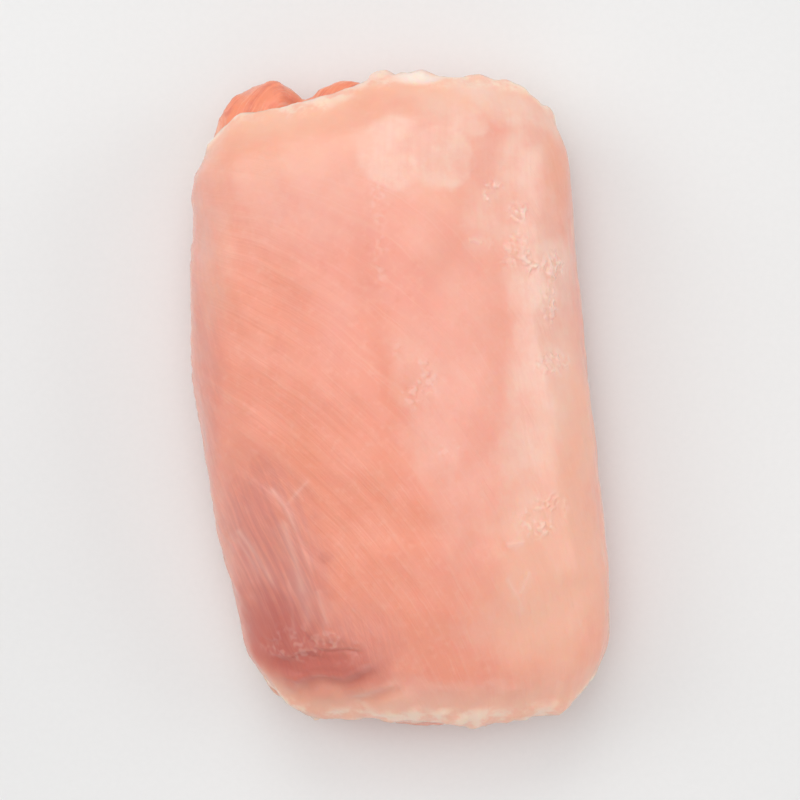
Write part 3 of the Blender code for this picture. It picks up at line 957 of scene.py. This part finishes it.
# Colours of raw poultry, some also used for painted shade, sheen, glow and highlights, as linear red,
# green, blue and alpha
PINK = (0.850, 0.360, 0.272, 1.0)
ORANGE = (0.850, 0.322, 0.212, 1.0)
PALE = (0.910, 0.500, 0.385, 1.0)
PEACH = (0.955, 0.570, 0.410, 1.0)
# Pale membrane, also the colour of the painted sheen
MEMBRANE_AND_SHEEN = (0.905, 0.600, 0.490, 1.0)
CREAM = (0.940, 0.560, 0.400, 1.0)
# A dark bluish pink for membrane over darker meat, and for painted shade
COOL_AND_SHADE = (0.660, 0.250, 0.208, 1.0)
DEEP = (0.720, 0.190, 0.115, 1.0)
# A dark red for redder spots, and for the painted shade of the near left corner
BLUSH_AND_SHADE = (0.480, 0.088, 0.066, 1.0)
INNER = (0.885, 0.300, 0.165, 1.0)
FAT = (0.940, 0.710, 0.570, 1.0)
# A pale colour for sinew, and for the dashes of painted highlight
SINEW_AND_GLINT_DASHES = (0.900, 0.650, 0.560, 1.0)
# A whitish colour for the painted highlights on the wrinkles, and for the white tips of fat
GLINT_AND_WHITE_FAT = (0.960, 0.810, 0.730, 1.0)
# Colours of the board
BOARD_DARKER = (0.780, 0.780, 0.775, 1.0)
BOARD_LIGHTER = (0.820, 0.820, 0.815, 1.0)


class MeatGraph(Graph):
    """The node tree of the raw meat, with the patterns that its layers share and a call for each layer."""

    def __init__(self):
        """Patterns drawn out along the fibres or the bundle, ones that are alike in all directions, and
        the film of membrane with its painted sheen.
        """
        super().__init__("raw_meat")
        grain, place = self.vector("grain"), self.place()
        self.wrap = self.vector("wrap")
        self.fibres = self.noise(self.stretch(grain, (0.66, 0.034, 0.1)), 1.0, 2.0, 0.6)
        self.hairs = self.noise(self.stretch(grain, (1.50, 0.050, 0.1)), 1.0, 1.0, 0.5)
        self.streaks = self.noise(self.stretch(self.wrap, (1.10, 0.070, 0.1)), 1.0, 2.0, 0.6)
        self.mottle = self.noise(place, 330.0, 4.0, 0.6)
        self.cloudy = self.noise(place, 170.0, 5.0, 0.62)
        self.grit = self.noise(place, 1500.0, 2.0, 0.6)
        self.speckle = self.noise(place, 760.0, 2.0, 0.5)
        # The film: membrane, and painted sheen where its patches stand in for the lights
        film_and_sheen = self.times(self.share("membrane_and_sheen"), self.spread(self.cloudy, 0.36, 0.62, 0.60, 1.0))
        self.film_and_sheen = self.times(film_and_sheen, self.spread(self.streaks, 0.30, 0.60, 0.88, 1.0))

    def lean(self):
        """The meat's own colour, with its fibres and blotches."""
        # More orange meat, and the painted glow at the far right edge
        colour = self.mix(self.share("warm_and_glow"), PINK, ORANGE)
        colour = self.mix(self.times(self.share("bundles"), 0.12), colour, PALE)
        colour = self.mix(self.spread(self.fibres, 0.50, 0.72, 0.0, 0.13), colour, PALE)
        colour = self.mix(self.spread(self.hairs, 0.60, 0.76, 0.0, 0.18), colour, PALE)
        colour = self.mix(self.spread(self.mottle, 0.52, 0.80, 0.0, 0.18), colour, DEEP)
        colour = self.mix(self.spread(self.speckle, 0.50, 0.75, 0.0, 0.16), colour, PALE)
        return self.mix(self.times(self.share("cream"), 0.70), colour, CREAM)

    def flanks(self, colour):
        """Pale veils and darker places on the flanks."""
        veils = self.noise(self.stretch(self.wrap, (0.075, 0.022, 0.1)), 1.0, 3.0, 0.6)
        veil = self.times(self.share("flank"), self.spread(veils, 0.50, 0.66, 0.0, 0.60))
        veil = self.times(veil, self.spread(self.streaks, 0.35, 0.60, 0.45, 1.0))
        colour = self.mix(veil, colour, MEMBRANE_AND_SHEEN)
        bruises = self.noise(self.stretch(self.wrap, (0.06, 0.030, 0.1)), 1.0, 2.0, 0.5)
        bruised = self.times(self.share("flank"), self.spread(bruises, 0.42, 0.28, 0.0, 0.40))
        return self.mix(bruised, colour, COOL_AND_SHADE)

    def blotches(self, colour):
        """Painted shade in the folds, bluish and redder places with painted shade at the lower left and the
        left rim, and the peach border along the edges of the sheet.
        """
        # Painted shade: the valleys of the folds and creases are painted a darker red
        colour = self.mix(self.times(self.share("folds"), 0.45), colour, DEEP)
        # Bluish membrane, with painted shade at the lower left and the left rim
        cool_and_shade = self.times(self.share("cool_and_shade"), self.spread(self.streaks, 0.32, 0.62, 0.45, 0.95))
        colour = self.mix(cool_and_shade, colour, COOL_AND_SHADE)
        # Redder spots, and painted shade at the near left corner
        colour = self.mix(self.times(self.share("blush_and_shade"), 0.66), colour, BLUSH_AND_SHADE)
        return self.mix(self.times(self.share("border"), 0.65), colour, PEACH)

    def membrane_and_sheen(self, colour):
        """The silvery membrane with its painted sheen, painted highlights on its wrinkles, and the threads
        of sinew with the dashes of painted highlight.
        """
        colour = self.mix(self.film_and_sheen, colour, MEMBRANE_AND_SHEEN)
        # Painted highlights: the tops of the granules in the wrinkles are painted whitish
        colour = self.mix(self.times(self.share("wrinkle"), self.share("granules_and_glints"), 0.30), colour, GLINT_AND_WHITE_FAT)
        # Threads of sinew, and the dashes of painted highlight
        threads = self.plus(self.times(self.share("halo"), 0.14), self.times(self.share("sinew_and_glint_dashes"), 0.22))
        return self.mix(threads, colour, SINEW_AND_GLINT_DASHES)

    def inner_muscle(self, colour):
        """The redder flesh of the inner muscles, where they show."""
        flesh = self.mix(self.spread(self.plus(self.mottle, self.fibres), 0.90, 1.30), INNER, DEEP)
        pale = self.spread(self.plus(self.cloudy, self.hairs), 0.98, 1.32, 0.0, 0.32)
        flesh = self.mix(pale, flesh, SINEW_AND_GLINT_DASHES)
        return self.mix(self.times(self.share("inner"), 0.85), colour, flesh)

    def fat(self, colour):
        """Scraps of fat on the flanks, the fatty rim of the sheet, the pads of fat and their white tips."""
        colour = self.mix(self.times(self.share("scraps"), 0.55), colour, FAT)
        fatty = self.spread(self.plus(self.cloudy, self.mottle), 0.86, 1.14, 0.0, 0.85)
        colour = self.mix(self.times(self.share("rim"), fatty), colour, FAT)
        pads = self.times(self.share("fat"), self.spread(self.cloudy, 0.34, 0.54, 0.72, 0.95))
        colour = self.mix(pads, colour, FAT)
        return self.mix(self.times(self.share("tips"), 0.80), colour, GLINT_AND_WHITE_FAT)

    def roughness(self):
        """How rough the surface is, which is least on the membrane and its wrinkles."""
        rough = self.plus(self.spread(self.mottle, 0.25, 0.75, 0.34, 0.48), self.times(self.film_and_sheen, -0.08))
        return self.plus(rough, self.times(self.share("wrinkle"), -0.14))

    def skin(self):
        """The normal of the finest relief: fibres, hairs, grit, and the streaks of the membrane."""
        fibres = self.plus(self.times(self.fibres, 0.055), self.times(self.hairs, 0.020))
        fine = self.plus(fibres, self.times(self.mottle, 0.050), self.times(self.grit, 0.014))
        return self.bump(self.plus(fine, self.times(self.film_and_sheen, self.streaks, 0.06)))


def meat_material():
    """Moist raw meat: fibres along the grain, blotches, membrane, sinew, fat, and redder inner muscle, with
    painted shade, sheen, glow and highlights.
    """
    graph = MeatGraph()
    colour = graph.lean()
    for layer in (graph.flanks, graph.blotches, graph.membrane_and_sheen, graph.inner_muscle, graph.fat):
        colour = layer(colour)
    skin = graph.skin()
    return graph.finish(
        Base_Color=colour,
        Roughness=graph.roughness(),
        Normal=skin,
        Subsurface_Weight=0.60,
        Subsurface_Radius=(1.0, 0.36, 0.20),
        Subsurface_Scale=0.0032,
        IOR=1.38,
        Coat_Weight=0.60,
        Coat_Roughness=0.15,
        Coat_IOR=1.36,
        Coat_Normal=skin,
    )


def floor_material():
    """A pale matt board, faintly speckled and cloudy."""
    graph = Graph("pale_board")
    speckle = graph.noise(graph.place(), 900.0, 3.0, 0.6)
    clouds = graph.noise(graph.place(), 9.0, 2.0, 0.5)
    shade = graph.plus(graph.spread(speckle, 0.3, 0.7, 0.0, 0.25), graph.spread(clouds, 0.3, 0.7, 0.0, 0.5))
    return graph.finish(Base_Color=graph.mix(shade, BOARD_DARKER, BOARD_LIGHTER), Roughness=0.55)


def make_floor():
    """A pale board under the thigh, far wider than the view."""
    half_side = 1.5
    mesh = bpy.data.meshes.new("floor")
    grid = bmesh.new()
    bmesh.ops.create_grid(grid, x_segments=8, y_segments=8, size=half_side)
    grid.to_mesh(mesh)
    grid.free()
    floor = new_object("floor", mesh, bpy.context.scene.collection)
    mesh.materials.append(floor_material())


# Softboxes, which all face the thigh: place, width, length, power in watts, colour
SOFTBOXES = {
    "right_strip": ((0.52, 0.08, 0.27), 0.50, 0.36, 0.21, (1.0, 0.985, 0.965)),
    "far_softbox": ((-0.05, 0.50, 0.50), 0.50, 0.36, 0.20, (1.0, 0.99, 0.975)),
    "top_softbox": ((-0.12, 0.10, 0.85), 1.00, 1.00, 0.97, (1.0, 1.0, 1.0)),
    "left_fill": ((-0.50, 0.16, 0.42), 0.50, 0.40, 0.23, (1.0, 0.99, 0.98)),
    "near_fill": ((0.06, -0.55, 0.17), 0.50, 0.30, 0.11, (1.0, 0.99, 0.98)),
}
SOFTBOX_SPREAD = math.radians(70)
ROOM_COLOUR = (0.97, 0.98, 1.0, 1.0)
ROOM_STRENGTH = 0.360


def soft_light(name, place, width, length, power, colour):
    """A rectangular softbox that faces the middle of the thigh and fades towards its edges."""
    target = Vector((0.0, 0.0, 0.015))
    data = bpy.data.lights.new(name, "AREA")
    data.shape = "RECTANGLE"
    data.size = width
    data.size_y = length
    data.energy = power
    data.color = colour
    data.spread = SOFTBOX_SPREAD
    light = new_object(name, data, bpy.context.scene.collection)
    light.location = place
    light.rotation_euler = (target - Vector(place)).to_track_quat("-Z", "Y").to_euler()


def light_scene():
    """Soft studio light: a low strip on the right, softboxes above and at the far end, and a pale room."""
    for name, settings in SOFTBOXES.items():
        soft_light(name, *settings)
    world = bpy.data.worlds.new("pale_room")
    world.use_nodes = True
    world.node_tree.nodes["Background"].inputs["Color"].default_value = ROOM_COLOUR
    world.node_tree.nodes["Background"].inputs["Strength"].default_value = ROOM_STRENGTH
    bpy.context.scene.world = world
    bpy.context.scene.view_settings.view_transform = "Standard"


def place_camera():
    """A long lens straight above the thigh, with the far end at the top of the picture."""
    lens, sensor = 150.0, 36.0
    share_of_picture = 0.84
    low, high = CAD_BOX
    middle = 0.5 * (low + high)
    shown = (high.y - low.y) / share_of_picture
    data = bpy.data.cameras.new("above")
    data.lens = lens
    data.sensor_width = sensor
    camera = new_object("above", data, bpy.context.scene.collection)
    camera.location = (middle.x, middle.y, high.z + shown * lens / sensor)
    camera.rotation_euler = (0.0, 0.0, 0.0)
    bpy.context.scene.camera = camera


def add_looks(piece, material):
    """Gives a piece its material and places it on the frame."""
    piece.data.materials.clear()
    piece.data.materials.append(material)
    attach(piece, "root")
    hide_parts("chicken_thigh")


def main():
    """Makes the thigh with its looks, the floor, the lights and the camera."""
    collection = bpy.context.scene.collection
    add_looks(make_thigh(collection), meat_material())
    make_floor()
    light_scene()
    place_camera()


main()
